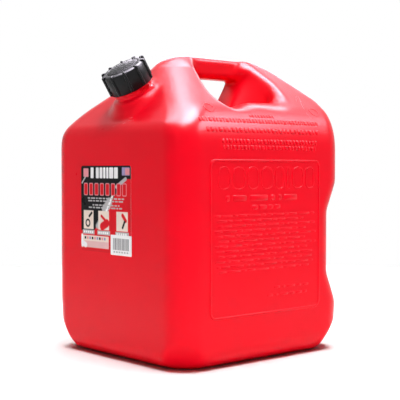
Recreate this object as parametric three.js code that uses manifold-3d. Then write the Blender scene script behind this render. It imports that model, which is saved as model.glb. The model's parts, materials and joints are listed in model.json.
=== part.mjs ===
// A plastic fuel can of five gallons, with its screw collar on and its spout stored in the neck.
// Millimetres, +Z up. The origin is at the centre of the base, -Y is the front with the neck.
import * as THREE from 'three';
import { mergeVertices } from 'three/addons/utils/BufferGeometryUtils.js';
import Module from 'manifold-3d';

const wasm = await Module();
wasm.setup();

// Tank: overall size, wall and the radii of its soft edges.
const tankWidth = 258.6;
const tankDepth = 273.9;
const ridgeHeight = 370;
const wall = 2.4;
const floorThickness = 3;
const cornerRadius = 31;
const frontHipRadius = 38;
const rearHipRadius = 8;
const footRadius = 30;
const bandHeight = 42;
const bandInset = 1.6;
const ridgeRadius = 10;
const ridgeHalfWidth = 15.7;
const leastRadius = 0.8;

// Roof: drop from the ridge to each shoulder corner before rounding, its radius and the roof's slope.
const sideShoulderDrop = 83.7;
const sideShoulderHeight = ridgeHeight - sideShoulderDrop;
const sideShoulderRadius = 67;
const frontShoulderDrop = 94.4;
const frontShoulderHeight = ridgeHeight - frontShoulderDrop;
const frontShoulderRadius = 28;
const frontRoofRise = 1.1;
const frontBrowRadius = 43;
const rearShoulderDrop = 52.1;
const rearShoulderHeight = ridgeHeight - rearShoulderDrop;
const rearShoulderRadius = 17;
const rearRoofRise = 1.17;
const rearBrowRadius = 50;

// Grip recess across the rear wall.
const gripDepth = 16.5;
const gripTop = 212;
const gripUpper = 176;
const gripLower = 98;
const gripBottom = 60;
const gripRadius = 24;

// Hand hole under the handle bar.
const barWidth = 29;
const barThickness = 27.5;
const barRadius = 8;
const pocketDrop = 70;
const pocketFloor = ridgeHeight - pocketDrop;
const pocketFloorRise = 11;
const pocketFront = -55;
const pocketFrontTop = -26;
const pocketRear = 58;
const pocketFlare = 16;
const pocketFlareReach = 64.6;
const pocketBrow = 10;
const pocketToe = 30;
const pocketToeHeight = 24;
const pocketHeel = 48;
const pocketHeelCurve = 7.5;

// Raised border on each wide side, and the two stickers on the front.
const borderFront = -95.4;
const borderRear = 88;
const borderBottom = 57;
const borderTop = 239.6;
const borderWidth = 2.6;
const borderProud = 0.9;
const borderRadius = 9;
const labelWidth = 101.4;
const labelHeight = 104.6;
const labelCentreX = -12;
const labelBottom = 127.9;
const labelRadius = 3;
const paperThickness = 0.25;
const paperGap = 0.2;
const stickerWidth = 41;
const stickerHeight = 24;
const stickerOverhang = 1.6;

// Neck: its lip is at the group's origin and its axis leans to the front.
const neckTilt = THREE.MathUtils.degToRad(33.2);
const neckLipSetback = 22.85;
const neckLipY = neckLipSetback - tankDepth / 2;
const neckLipDrop = 28.8;
const neckLipZ = ridgeHeight - neckLipDrop;
const neckRadius = 23.5;
const neckBore = 20.8;
const neckLength = 24;
const bossTopRadius = 28;
const bossFootRadius = 37;
const bossLength = 24;
const neckReach = 44;

// Thread: pitch, depth and turns of both parts, and the gap between them.
const threadPitch = 6;
const threadDepth = 1.6;
const threadTurns = 1.25;
const threadRoot = 2.4;
const threadCrest = 1.2;
const threadStart = 2.4;
const threadGap = 0.7;
const ratchetTeeth = 7;
const ratchetPitch = THREE.MathUtils.degToRad(5);
const ratchetDepth = 1.3;
const ratchetWidth = 0.9;
const ratchetLength = 4;
const ratchetPlace = 19.2;

// Collar, disc and gaskets, stacked on the lip with one seat gap between neighbours.
const seatGap = 0.3;
const gasketThickness = 1.3;
const flangeThickness = 2;
const discThickness = 2.1;
const collarLip = 3;
const collarHeight = 25.8;
const collarWall = 1.7;
const collarChamfer = 2.6;
const collarOpening = 20.5;
const collarBoreGap = 0.8;
const threadPassGap = 0.5;
const ribCount = 10;
const ribRadius = 1.9;
const nubProud = 0.9;
const nubLength = 4.5;
const nubWidth = 3;
const ribTurn = THREE.MathUtils.degToRad(33);
const discDome = 2.2;
const discGap = 0.6;
const discPlate = 2.4;
const gasketBand = 4.6;

// Stored spout, measured down the neck's axis from the lip.
const tubeRadius = 11;
const tubeWall = 2;
const tubeLength = 158;
const socketLength = 22;
const socketWall = 2.9;
const sealThickness = 1.1;
const sealWidth = 2.2;
const runningGap = 0.4;
const sleeveLength = 78;
const sleeveReach = 12;
const sleeveBottom = tubeLength + sleeveReach;
const sleeveTop = sleeveBottom - sleeveLength;
const sleeveOuter = 16.4;
const sleeveChamber = 15;
const sleeveGuideLength = 8;
const sleeveNoseLength = 20;
const sleeveNoseTop = sleeveBottom - sleeveNoseLength;
const sleeveNoseBore = 12.9;
const sleeveNoseWall = 2;
const sleeveTravel = 18;
const lockRingHeight = 12;
const lockRingWall = 3.9;
const lockRingGap = 4;
const lockTabLength = 3.2;
const lockTabWidth = 8;
const lockTabHeight = 7.2;
const hookLength = 14;
const hookReach = 2.6;
const hookWidth = 9;
const springSeatThickness = 3;
const springSeatRadius = 14.4;
const springWire = 1.4;
const springTurns = 7;
const springRadius = 13;
const spiderInset = 8;
const spiderPlace = tubeLength - spiderInset;
const spiderThickness = 4;
const spiderHub = 3.8;
const spiderArmWidth = 2;
const stemRadius = 2;
const stemHead = 3.4;
const stemHeadLength = 3;
const plugHeight = 8;
const plugBottom = sleeveBottom;
const plugTop = plugBottom - plugHeight;
const plugRadius = 11.6;
const plugGroove = 1.6;
const plugFloor = 2;
const plugChamfer = 1;
const plugShoulder = 4;
const plugSealHeight = 2.6;
const ventRadius = 1.7;
const ventBore = 1;
const ventTop = 4;
const ventInset = 2;

// Fineness of round shapes, in steps.
const cornerSteps = 5;
const arcSteps = 4;
const roundSteps = 36;
const fineSteps = 24;
const threadSteps = 24;
const threadRunOutSteps = 4;
const ribSides = 8;
const domeSteps = 3;
const springSteps = 8;
const springSides = 5;
const ventSteps = 16;
const sectionSteps = 20;
const levelSpacing = 3.5;
// One overrun for every cut that passes through a face.
const overrun = 1;
// Points closer than this are one.
const weld = 1e-4;

const paints = {
  red: { color: 0xe0141f, roughness: 0.38, metalness: 0 },
  black: { color: 0x1b1d1e, roughness: 0.45, metalness: 0 },
  rubber: { color: 0x222222, roughness: 0.8, metalness: 0 },
  tube: { color: 0x2a2a2c, roughness: 0.5, metalness: 0 },
  sleeve: { color: 0xe8c11c, roughness: 0.45, metalness: 0 },
  steel: { color: 0xb8bcc0, roughness: 0.3, metalness: 1 },
  paper: { color: 0x2a2426, roughness: 0.5, metalness: 0 },
  sticker: { color: 0xf2f0ee, roughness: 0.5, metalness: 0 },
  clear: { color: 0xdcdcd8, roughness: 0.4, metalness: 0 },
};

// Turn a closed geometry into a solid that can be joined and cut.
function solidOf(geometry) {
  const plain = geometry.clone();
  plain.deleteAttribute('normal');
  plain.deleteAttribute('uv');
  const merged = mergeVertices(plain, weld);
  const vertProperties = new Float32Array(merged.attributes.position.array);
  const triVerts = new Uint32Array(merged.index.array);
  const mesh = new wasm.Mesh({ numProp: 3, vertProperties, triVerts });
  mesh.merge();
  return new wasm.Manifold(mesh);
}

// Turn a solid back into a geometry.
function geometryOf(solid) {
  const mesh = solid.getMesh();
  const geometry = new THREE.BufferGeometry();
  geometry.setAttribute('position', new THREE.BufferAttribute(new Float32Array(mesh.vertProperties), 3));
  geometry.setIndex(new THREE.BufferAttribute(new Uint32Array(mesh.triVerts), 1));
  return geometry;
}

function joined(solids) {
  return solids.reduce((sum, solid) => sum.add(solid));
}

// A closed skin over a stack of rings of equal count, each counter-clockwise seen from the far end.
function loft(rings) {
  const count = rings[0].length;
  const positions = [];
  for (const ring of rings) {
    for (const point of ring) {
      positions.push(point.x, point.y, point.z);
    }
  }
  const index = [];
  for (let level = 0; level + 1 < rings.length; level += 1) {
    for (let i = 0; i < count; i += 1) {
      const a = level * count + i;
      const b = level * count + ((i + 1) % count);
      index.push(a, b, b + count, a, b + count, a + count);
    }
  }
  for (const [ring, flip] of [[0, true], [rings.length - 1, false]]) {
    const centre = new THREE.Vector3();
    rings[ring].forEach((point) => centre.addScaledVector(point, 1 / count));
    const hub = positions.length / 3;
    positions.push(centre.x, centre.y, centre.z);
    for (let i = 0; i < count; i += 1) {
      const a = ring * count + i;
      const b = ring * count + ((i + 1) % count);
      index.push(hub, flip ? b : a, flip ? a : b);
    }
  }
  const geometry = new THREE.BufferGeometry();
  geometry.setAttribute('position', new THREE.Float32BufferAttribute(positions, 3));
  geometry.setIndex(index);
  return geometry;
}

// A turned solid about Z from [radius, height] pairs, whichever way round they are given.
function turned(pairs, steps = roundSteps) {
  const area = pairs.reduce((sum, [r, z], i) => {
    const [nextR, nextZ] = pairs[(i + 1) % pairs.length];
    return sum + (r * nextZ - nextR * z);
  }, 0);
  const profile = area > 0 ? pairs : [...pairs].reverse();
  const points = profile.map(([r, z]) => new THREE.Vector2(r, z));
  if (profile[0][0] > 0 || profile[profile.length - 1][0] > 0) {
    points.push(points[0].clone());
  }
  const geometry = new THREE.LatheGeometry(points, steps);
  geometry.rotateX(Math.PI / 2);
  return solidOf(geometry);
}

// A ring with a square section.
function ringSolid(outer, inner, low, high, steps = roundSteps) {
  return turned([[inner, low], [outer, low], [outer, high], [inner, high]], steps);
}

function boxSolid(sizeX, sizeY, sizeZ, x, y, z) {
  const geometry = new THREE.BoxGeometry(sizeX, sizeY, sizeZ);
  geometry.translate(x, y, z);
  return solidOf(geometry);
}

// An outline through corners, each inner corner rounded with its own radius.
function roundedPath(corners, radii) {
  const path = [corners[0].clone()];
  for (let i = 1; i + 1 < corners.length; i += 1) {
    const corner = corners[i];
    const back = corners[i - 1].clone().sub(corner).normalize();
    const ahead = corners[i + 1].clone().sub(corner).normalize();
    const half = Math.acos(THREE.MathUtils.clamp(back.dot(ahead), -1, 1)) / 2;
    const radius = radii[i - 1];
    const middle = back.clone().add(ahead).normalize();
    const centre = corner.clone().addScaledVector(middle, radius / Math.sin(half));
    const start = corner.clone().addScaledVector(back, radius / Math.tan(half)).sub(centre);
    const end = corner.clone().addScaledVector(ahead, radius / Math.tan(half)).sub(centre);
    const turn = Math.atan2(start.cross(end), start.dot(end));
    for (let step = 0; step <= arcSteps; step += 1) {
      path.push(start.clone().rotateAround(new THREE.Vector2(), (turn * step) / arcSteps).add(centre));
    }
  }
  path.push(corners[corners.length - 1].clone());
  return path;
}

// The same outline moved to its left by a distance.
function offsetPath(path, distance, closed = false) {
  return path.map((point, i) => {
    const last = path.length - 1;
    const before = path[i > 0 ? i - 1 : closed ? last : 0];
    const after = path[i < last ? i + 1 : closed ? 0 : last];
    const along = after.clone().sub(before).normalize();
    return new THREE.Vector2(point.x - along.y * distance, point.y + along.x * distance);
  });
}

// Reach of an outline from the middle at a height, with heights rising along the outline.
function reachAt(path, height) {
  for (let i = 0; i + 1 < path.length; i += 1) {
    const low = path[i];
    const high = path[i + 1];
    if (height <= high.y && high.y > low.y) {
      return low.x + ((high.x - low.x) * Math.max(0, height - low.y)) / (high.y - low.y);
    }
  }
  return path[path.length - 1].x;
}

// Half outlines of the tank seen from the front, and to its front and rear seen from the side.
const halfWidth = tankWidth / 2;
const halfDepth = tankDepth / 2;
const corner = (reach, height) => new THREE.Vector2(reach, height);

function sideOutline() {
  return roundedPath(
    [
      corner(0, 0),
      corner(halfWidth - bandInset, 0),
      corner(halfWidth - bandInset, bandHeight),
      corner(halfWidth, bandHeight + footRadius),
      corner(halfWidth, sideShoulderHeight),
      corner(ridgeHalfWidth, ridgeHeight),
      corner(0, ridgeHeight),
    ],
    [footRadius, footRadius, footRadius, sideShoulderRadius, ridgeRadius],
  );
}

function frontOutline() {
  const browReach = halfDepth - (ridgeHeight - frontShoulderHeight) / frontRoofRise;
  return roundedPath(
    [
      corner(0, 0),
      corner(halfDepth - bandInset, 0),
      corner(halfDepth - bandInset, bandHeight),
      corner(halfDepth, bandHeight + footRadius),
      corner(halfDepth, frontShoulderHeight),
      corner(browReach, ridgeHeight),
      corner(0, ridgeHeight),
    ],
    [footRadius, footRadius, footRadius, frontShoulderRadius, frontBrowRadius],
  );
}

function rearOutline() {
  const browReach = halfDepth - (ridgeHeight - rearShoulderHeight) / rearRoofRise;
  return roundedPath(
    [
      corner(0, 0),
      corner(halfDepth - bandInset, 0),
      corner(halfDepth - bandInset, bandHeight),
      corner(halfDepth, gripBottom),
      corner(halfDepth - gripDepth, gripLower),
      corner(halfDepth - gripDepth, gripUpper),
      corner(halfDepth, gripTop),
      corner(halfDepth, rearShoulderHeight),
      corner(browReach, ridgeHeight),
      corner(0, ridgeHeight),
    ],
    [footRadius, gripRadius / 2, gripRadius, gripRadius, gripRadius, gripRadius, rearShoulderRadius, rearBrowRadius],
  );
}

// One level of the tank: a rectangle with a radius for its front and its rear corners.
function tankRing(outlines, height, inset) {
  const [side, front, rear] = outlines.map((path) => reachAt(path, height));
  const climb = THREE.MathUtils.smoothstep(height, sideShoulderHeight - cornerRadius, ridgeHeight);
  const frontRadius = THREE.MathUtils.lerp(cornerRadius, frontHipRadius, climb) - inset;
  const rearRadius = THREE.MathUtils.lerp(cornerRadius, rearHipRadius, climb) - inset;
  const ring = [];
  const corners = [
    [1, -1, frontRadius, -Math.PI / 2, front],
    [1, 1, rearRadius, 0, rear],
    [-1, 1, rearRadius, Math.PI / 2, rear],
    [-1, -1, frontRadius, Math.PI, front],
  ];
  for (const [signX, signY, wanted, start, reach] of corners) {
    const radius = Math.max(leastRadius, Math.min(wanted, side - leastRadius / 2, front + rear));
    for (let step = 0; step <= cornerSteps; step += 1) {
      const angle = start + (Math.PI / 2) * (step / cornerSteps);
      ring.push(new THREE.Vector3(
        signX * (side - radius) + radius * Math.cos(angle),
        signY * (reach - radius) + radius * Math.sin(angle),
        height,
      ));
    }
  }
  return ring;
}

// Heights where any outline bends, thinned so that no two levels lie close together.
function tankLevels(outlines, low, high) {
  const bends = outlines.flat().map((point) => point.y).filter((y) => y > low && y < high);
  const levels = [low];
  bends.sort((a, b) => a - b);
  for (const bend of bends) {
    if (bend - levels[levels.length - 1] > levelSpacing && high - bend > leastRadius) {
      levels.push(bend);
    }
  }
  levels.push(high);
  return levels;
}

function tankSolid(inset) {
  const outer = [sideOutline(), frontOutline(), rearOutline()];
  const outlines = inset > 0 ? outer.map((path) => offsetPath(path, inset)) : outer;
  const low = inset > 0 ? floorThickness : 0;
  const high = ridgeHeight - inset;
  const levels = tankLevels(outlines, low, high);
  return solidOf(loft(levels.map((height) => tankRing(outlines, height, inset))));
}

// Side view of the hand hole at a distance from the middle plane, as equal counts of points.
function pocketSection(x, grow) {
  const open = THREE.MathUtils.smoothstep(Math.abs(x), barWidth / 2, pocketFlareReach);
  const rear = pocketRear + pocketFlare * open;
  const rearRise = pocketFloorRise * open;
  const top = ridgeHeight + barThickness;
  const shape = new THREE.Shape();
  shape.moveTo(rear, top);
  shape.lineTo(pocketFrontTop + pocketBrow, top);
  shape.lineTo(pocketFrontTop, ridgeHeight);
  const toeHigh = pocketFloor + pocketToeHeight;
  shape.quadraticCurveTo(pocketFront + pocketBrow / 2, ridgeHeight - pocketToe, pocketFront, toeHigh);
  shape.quadraticCurveTo(pocketFront, pocketFloor, pocketFront + pocketToe, pocketFloor);
  shape.lineTo(rear - pocketHeel, pocketFloor + rearRise / 3);
  shape.quadraticCurveTo(rear - pocketHeelCurve, pocketFloor + rearRise, rear, ridgeHeight - barThickness);
  shape.lineTo(rear, top);
  const points = shape.getSpacedPoints(sectionSteps);
  points.pop();
  const grown = grow > 0 ? offsetPath(points, -grow, true) : points;
  return grown.map((point) => new THREE.Vector3(x, point.x, point.y));
}

// The space of the hand hole, with the handle bar left standing in it.
function pocketSolid(grow) {
  const reachShares = [-1.1, -0.8, -0.56, -0.36, -0.22, -0.11, 0, 0.11, 0.22, 0.36, 0.56, 0.8, 1.1];
  const rings = reachShares.map((share) => pocketSection(share * halfWidth, grow));
  const space = solidOf(loft(rings));
  const half = barWidth / 2 - grow;
  const low = ridgeHeight - barThickness + grow;
  const high = ridgeHeight + barThickness * 2;
  const radius = barRadius - grow;
  const section = new THREE.Shape();
  section.moveTo(half, high);
  section.lineTo(-half, high);
  section.lineTo(-half, low + radius);
  section.absarc(-half + radius, low + radius, radius, Math.PI, Math.PI * 1.5);
  section.absarc(half - radius, low + radius, radius, -Math.PI / 2, 0);
  section.lineTo(half, high);
  const bar = new THREE.ExtrudeGeometry(section, { depth: tankDepth, bevelEnabled: false, curveSegments: arcSteps });
  bar.rotateX(Math.PI / 2);
  bar.translate(0, halfDepth, 0);
  return space.subtract(solidOf(bar));
}

// A raised rounded frame on a wide side, sunk into the wall behind it.
function borderSolid(sign) {
  const frame = (grow) => {
    const low = borderBottom - grow;
    const high = borderTop + grow;
    const front = borderFront - grow;
    const rear = borderRear + grow;
    const radius = borderRadius + grow;
    const outline = grow > 0 ? new THREE.Shape() : new THREE.Path();
    outline.absarc(rear - radius, high - radius, radius, 0, Math.PI / 2);
    outline.absarc(front + radius, high - radius, radius, Math.PI / 2, Math.PI);
    outline.absarc(front + radius, low + radius, radius, Math.PI, Math.PI * 1.5);
    outline.absarc(rear - radius, low + radius, radius, Math.PI * 1.5, Math.PI * 2);
    outline.closePath();
    return outline;
  };
  const shape = frame(borderWidth);
  shape.holes.push(frame(0));
  const depth = wall / 2 + borderProud;
  const geometry = new THREE.ExtrudeGeometry(shape, { depth, bevelEnabled: false, curveSegments: arcSteps });
  geometry.rotateX(Math.PI / 2);
  geometry.rotateZ(Math.PI / 2);
  geometry.translate(sign > 0 ? halfWidth - wall / 2 : -halfWidth - borderProud, 0, 0);
  return solidOf(geometry);
}

// The space from the neck's own frame, where Z is its axis and the lip is at zero, to the tank's frame.
const neckFrame = new THREE.Matrix4()
  .makeRotationX(neckTilt)
  .setPosition(0, neckLipY, neckLipZ);

function atNeck(solid) {
  return solidOf(geometryOf(solid).applyMatrix4(neckFrame));
}

// A right-hand thread about Z, rooted at one radius and crested at another, with its ends run out.
function threadSolid(root, crest, top, bury) {
  const count = Math.round(threadTurns * threadSteps);
  const deep = root + Math.sign(root - crest) * bury;
  const rings = [];
  for (let step = 0; step <= count; step += 1) {
    const angle = (step / threadSteps) * Math.PI * 2;
    const share = Math.min(1, (step + 1) / threadRunOutSteps, (count - step + 1) / threadRunOutSteps);
    const height = top - threadTurns * threadPitch + (step / threadSteps) * threadPitch;
    const peak = root + (crest - root) * share;
    const section = [
      [deep, -threadRoot / 2],
      [peak, -threadCrest / 2],
      [peak, threadCrest / 2],
      [deep, threadRoot / 2],
    ];
    rings.push(section.map(([radius, rise]) => new THREE.Vector3(
      radius * Math.cos(angle),
      radius * Math.sin(angle),
      height + rise,
    )));
  }
  const outward = crest > root;
  return solidOf(loft(outward ? rings.map((ring) => [...ring].reverse()) : rings));
}

const collarBore = neckRadius + threadDepth + collarBoreGap;
const collarOuter = collarBore + collarWall;
const stackHeight = seatGap * 5 + gasketThickness * 2 + flangeThickness + discThickness;
const collarTop = stackHeight + collarLip;
const collarBottom = collarTop - collarHeight;

function canBody() {
  const neckOuter = turned([
    [0, -neckReach],
    [bossFootRadius - wall, -neckReach],
    [bossFootRadius, -neckLength - bossLength / 2],
    [bossTopRadius, -neckLength],
    [neckRadius, -neckLength + (bossTopRadius - neckRadius) / 2],
    [neckRadius, 0],
    [0, 0],
  ]);
  const neckInner = turned([
    [0, -neckReach],
    [bossFootRadius - wall * 2, -neckReach],
    [bossTopRadius - wall * 2, -neckLength - wall],
    [neckBore, -neckLength + wall],
    [neckBore, overrun],
    [0, overrun],
  ]);
  const boss = neckOuter.add(threadSolid(neckRadius, neckRadius + threadDepth, -threadStart, wall / 2));
  const teeth = [];
  for (const side of [0, Math.PI]) {
    for (let i = 0; i < ratchetTeeth; i += 1) {
      const tooth = new THREE.BoxGeometry(ratchetDepth * 2, ratchetWidth, ratchetLength);
      tooth.translate(neckRadius, 0, -ratchetPlace);
      const place = (i - (ratchetTeeth - 1) / 2) * ratchetPitch;
      tooth.rotateZ(side + place);
      teeth.push(solidOf(tooth));
    }
  }
  const shell = joined([tankSolid(0), atNeck(joined([boss, ...teeth])), borderSolid(1), borderSolid(-1)]);
  const outside = shell.subtract(pocketSolid(0));
  const inside = tankSolid(wall).subtract(pocketSolid(wall));
  return outside.subtract(inside.add(atNeck(neckInner)));
}

function screwCollar() {
  const shell = turned([
    [collarBore, collarBottom],
    [collarOuter, collarBottom],
    [collarOuter, collarTop - collarChamfer],
    [collarOuter - collarChamfer, collarTop],
    [collarOpening, collarTop],
    [collarOpening, stackHeight],
    [collarBore, stackHeight],
  ]);
  const ribs = [];
  for (let i = 0; i < ribCount; i += 1) {
    const height = collarTop - collarBottom - collarChamfer / 2;
    const rib = new THREE.CylinderGeometry(ribRadius, ribRadius, height, ribSides);
    rib.rotateX(Math.PI / 2);
    rib.translate(collarOuter, 0, collarBottom + collarChamfer / 2 + height / 2);
    const nub = new THREE.BoxGeometry(nubLength, nubWidth, collarChamfer);
    nub.translate(
      collarOuter + ribRadius - nubProud - nubLength / 2,
      0,
      collarTop - collarChamfer / 2 + nubProud,
    );
    const angle = ribTurn + (i / ribCount) * Math.PI * 2;
    rib.rotateZ(angle);
    nub.rotateZ(angle);
    ribs.push(solidOf(rib), solidOf(nub));
  }
  const crest = neckRadius + threadGap;
  const top = -threadStart - threadPitch / 2;
  const thread = threadSolid(collarBore, crest, top, collarWall / 2);
  return joined([shell, thread, ...ribs]);
}

// Heights of the clamped stack above the lip.
const flangeGasketLow = seatGap;
const flangeLow = flangeGasketLow + gasketThickness + seatGap;
const discGasketLow = flangeLow + flangeThickness + seatGap;
const discLow = discGasketLow + gasketThickness + seatGap;
const discHigh = discLow + discThickness;
// The disc and its gasket are captive above the collar's thread. The spout's flange passes through it.
const captiveRadius = collarBore - collarBoreGap;
const flangeRadius = neckRadius + threadGap - threadPassGap;

function closureDisc() {
  const domeRadius = collarOpening - discGap;
  const dome = Array.from({ length: domeSteps }, (_, i) => {
    const angle = ((i + 1) / domeSteps) * (Math.PI / 2);
    const radius = i + 1 < domeSteps ? domeRadius * Math.cos(angle) : 0;
    return [radius, discHigh + collarLip + discDome * Math.sin(angle)];
  });
  return turned([
    [0, discHigh + collarLip + discDome - discPlate],
    [domeRadius - discPlate, discHigh + collarLip - discPlate],
    [domeRadius - discPlate, discLow],
    [captiveRadius, discLow],
    [captiveRadius, discHigh],
    [domeRadius, discHigh],
    [domeRadius, discHigh + collarLip],
    ...dome,
  ]);
}

const socketBore = tubeRadius + seatGap;

function spoutFlange() {
  const sealBore = socketBore + sealThickness + seatGap * 2;
  return turned([
    [tubeRadius - tubeWall, flangeLow],
    [socketBore, flangeLow],
    [socketBore, sealWidth + seatGap * 2 - socketLength],
    [sealBore, sealWidth + seatGap * 2 - socketLength],
    [sealBore, -socketLength],
    [socketBore + socketWall, -socketLength],
    [socketBore + socketWall, flangeLow],
    [flangeRadius, flangeLow],
    [flangeRadius, flangeLow + flangeThickness],
    [tubeRadius - tubeWall, flangeLow + flangeThickness],
  ]);
}

const springSeatTop = -sleeveTop - sleeveGuideLength - seatGap;

function spoutTube() {
  return turned([
    [tubeRadius - tubeWall, -tubeLength],
    [tubeRadius, -tubeLength],
    [tubeRadius, springSeatTop - springSeatThickness],
    [springSeatRadius, springSeatTop - springSeatThickness],
    [springSeatRadius, springSeatTop],
    [tubeRadius, springSeatTop],
    [tubeRadius, flangeLow - seatGap],
    [tubeRadius - tubeWall, flangeLow - seatGap],
  ], fineSteps);
}

function tubeSeal() {
  const low = seatGap - socketLength;
  return ringSolid(socketBore + sealThickness, tubeRadius + seatGap, low, low + sealWidth, fineSteps);
}

// The ring sits just above the highest place that the sleeve slides to.
function lockRing() {
  const inner = tubeRadius + runningGap;
  const outer = inner + lockRingWall;
  const low = -sleeveTop + sleeveTravel + lockRingGap;
  const ring = ringSolid(outer, inner, low, low + lockRingHeight, fineSteps);
  const tab = boxSolid(lockTabLength * 2, lockTabWidth, lockTabHeight, outer, 0, low + lockRingHeight / 2);
  return ring.add(tab);
}

function spoutSleeve() {
  const body = turned([
    [tubeRadius + runningGap, -sleeveTop],
    [sleeveOuter, -sleeveTop],
    [sleeveOuter, -sleeveBottom + sleeveOuter - sleeveNoseBore],
    [sleeveNoseBore + sleeveNoseWall, -sleeveBottom],
    [sleeveNoseBore, -sleeveBottom],
    [sleeveNoseBore, -sleeveNoseTop],
    [sleeveChamber, -sleeveNoseTop],
    [sleeveChamber, -sleeveTop - sleeveGuideLength],
    [tubeRadius + runningGap, -sleeveTop - sleeveGuideLength],
  ], fineSteps);
  const hookX = sleeveOuter + hookReach / 2 - overrun / 2;
  const hook = boxSolid(hookReach + overrun, hookWidth, hookLength, hookX, 0, -sleeveNoseTop + hookLength / 2);
  return body.add(hook);
}

// An unbroken coil, with its least gap to itself measured and printed.
function sleeveSpring() {
  const high = springSeatTop - springSeatThickness - seatGap - springWire / 2;
  const low = -sleeveNoseTop + seatGap + springWire / 2;
  const count = springTurns * springSteps;
  const centres = [];
  for (let step = 0; step <= count; step += 1) {
    const angle = (step / springSteps) * Math.PI * 2;
    const height = low + ((high - low) * step) / count;
    centres.push(new THREE.Vector3(springRadius * Math.cos(angle), springRadius * Math.sin(angle), height));
  }
  const rings = centres.map((centre, step) => {
    const angle = (step / springSteps) * Math.PI * 2;
    const out = new THREE.Vector3(Math.cos(angle), Math.sin(angle), 0);
    return Array.from({ length: springSides }, (_, side) => {
      const turn = (side / springSides) * Math.PI * 2;
      const point = centre.clone().addScaledVector(out, (springWire / 2) * Math.cos(turn));
      point.z += (springWire / 2) * Math.sin(turn);
      return point;
    });
  });
  let least = Infinity;
  centres.forEach((a, i) => centres.forEach((b, j) => {
    if (j - i > springSteps / 2) {
      least = Math.min(least, a.distanceTo(b) - springWire);
    }
  }));
  console.log(`sleeve_spring least gap ${least.toFixed(2)} mm`);
  return solidOf(loft(rings.map((ring) => [...ring].reverse())));
}

function stemSpider() {
  const low = -spiderPlace - spiderThickness;
  const hub = ringSolid(spiderHub, stemRadius + seatGap, low, -spiderPlace, fineSteps);
  const armEnd = tubeRadius - tubeWall - seatGap;
  const armStart = spiderHub - overrun / 2;
  const arms = [1, 3, 5].map((sixth) => {
    const arm = new THREE.BoxGeometry(armEnd - armStart, spiderArmWidth, spiderThickness);
    arm.translate((armEnd + armStart) / 2, 0, low + spiderThickness / 2);
    arm.rotateZ((sixth * Math.PI) / 3);
    return solidOf(arm);
  });
  return joined([hub, ...arms]);
}

function valveStem() {
  const headLow = -spiderPlace + seatGap;
  return turned([
    [0, -plugBottom + plugFloor],
    [stemRadius, -plugBottom + plugFloor],
    [stemRadius, headLow],
    [stemHead, headLow],
    [stemHead, headLow + stemHeadLength],
    [0, headLow + stemHeadLength],
  ], fineSteps);
}

const plugSealLow = -(plugTop + plugBottom + plugSealHeight) / 2;

function valvePlug() {
  const grooveLow = plugSealLow - seatGap;
  const grooveHigh = plugSealLow + plugSealHeight + seatGap;
  return turned([
    [0, -plugBottom],
    [plugRadius, -plugBottom],
    [plugRadius, grooveLow],
    [plugRadius - plugGroove, grooveLow],
    [plugRadius - plugGroove, grooveHigh],
    [plugRadius, grooveHigh],
    [plugRadius, -plugTop - plugChamfer],
    [plugShoulder, -plugTop],
    [stemRadius + seatGap, -plugTop],
    [stemRadius + seatGap, -plugBottom + plugFloor - seatGap],
    [0, -plugBottom + plugFloor - seatGap],
  ], fineSteps);
}

function plugSeal() {
  const outer = sleeveNoseBore - seatGap;
  const inner = plugRadius - plugGroove + seatGap;
  return ringSolid(outer, inner, plugSealLow, plugSealLow + plugSealHeight, fineSteps);
}

// The air tube runs down beside the spider's hub.
function ventTube() {
  const tube = ringSolid(ventRadius, ventBore, -tubeLength + ventInset, -ventTop, ventSteps);
  return tube.translate([spiderHub + runningGap + ventRadius, 0, 0]);
}

// A flat gasket just smaller than the part that it lies against.
function flatGasket(carrierRadius, low) {
  const outer = carrierRadius - seatGap;
  return ringSolid(outer, outer - gasketBand, low, low + gasketThickness);
}

// A flat rounded sheet stuck on the front wall.
function sheetSolid(left, bottom, width, height, lift) {
  const shape = new THREE.Shape();
  const right = left + width;
  const top = bottom + height;
  shape.absarc(right - labelRadius, top - labelRadius, labelRadius, 0, Math.PI / 2);
  shape.absarc(left + labelRadius, top - labelRadius, labelRadius, Math.PI / 2, Math.PI);
  shape.absarc(left + labelRadius, bottom + labelRadius, labelRadius, Math.PI, Math.PI * 1.5);
  shape.absarc(right - labelRadius, bottom + labelRadius, labelRadius, Math.PI * 1.5, Math.PI * 2);
  shape.closePath();
  const geometry = new THREE.ExtrudeGeometry(shape, { depth: paperThickness, bevelEnabled: false, curveSegments: arcSteps });
  geometry.rotateX(Math.PI / 2);
  geometry.translate(0, -halfDepth - lift, 0);
  return solidOf(geometry);
}

const labelLeft = labelCentreX - labelWidth / 2;
const stickerLeft = labelCentreX + labelWidth / 2 + stickerOverhang - stickerWidth;

const can = new THREE.Group();
const neck = new THREE.Group();
neck.position.set(0, neckLipY, neckLipZ);
neck.rotation.x = neckTilt;
can.add(neck);

function addPiece(parent, name, paint, solid) {
  const geometry = geometryOf(solid);
  geometry.computeVertexNormals();
  const mesh = new THREE.Mesh(geometry, new THREE.MeshStandardMaterial(paints[paint]));
  mesh.name = name;
  parent.add(mesh);
}

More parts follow.
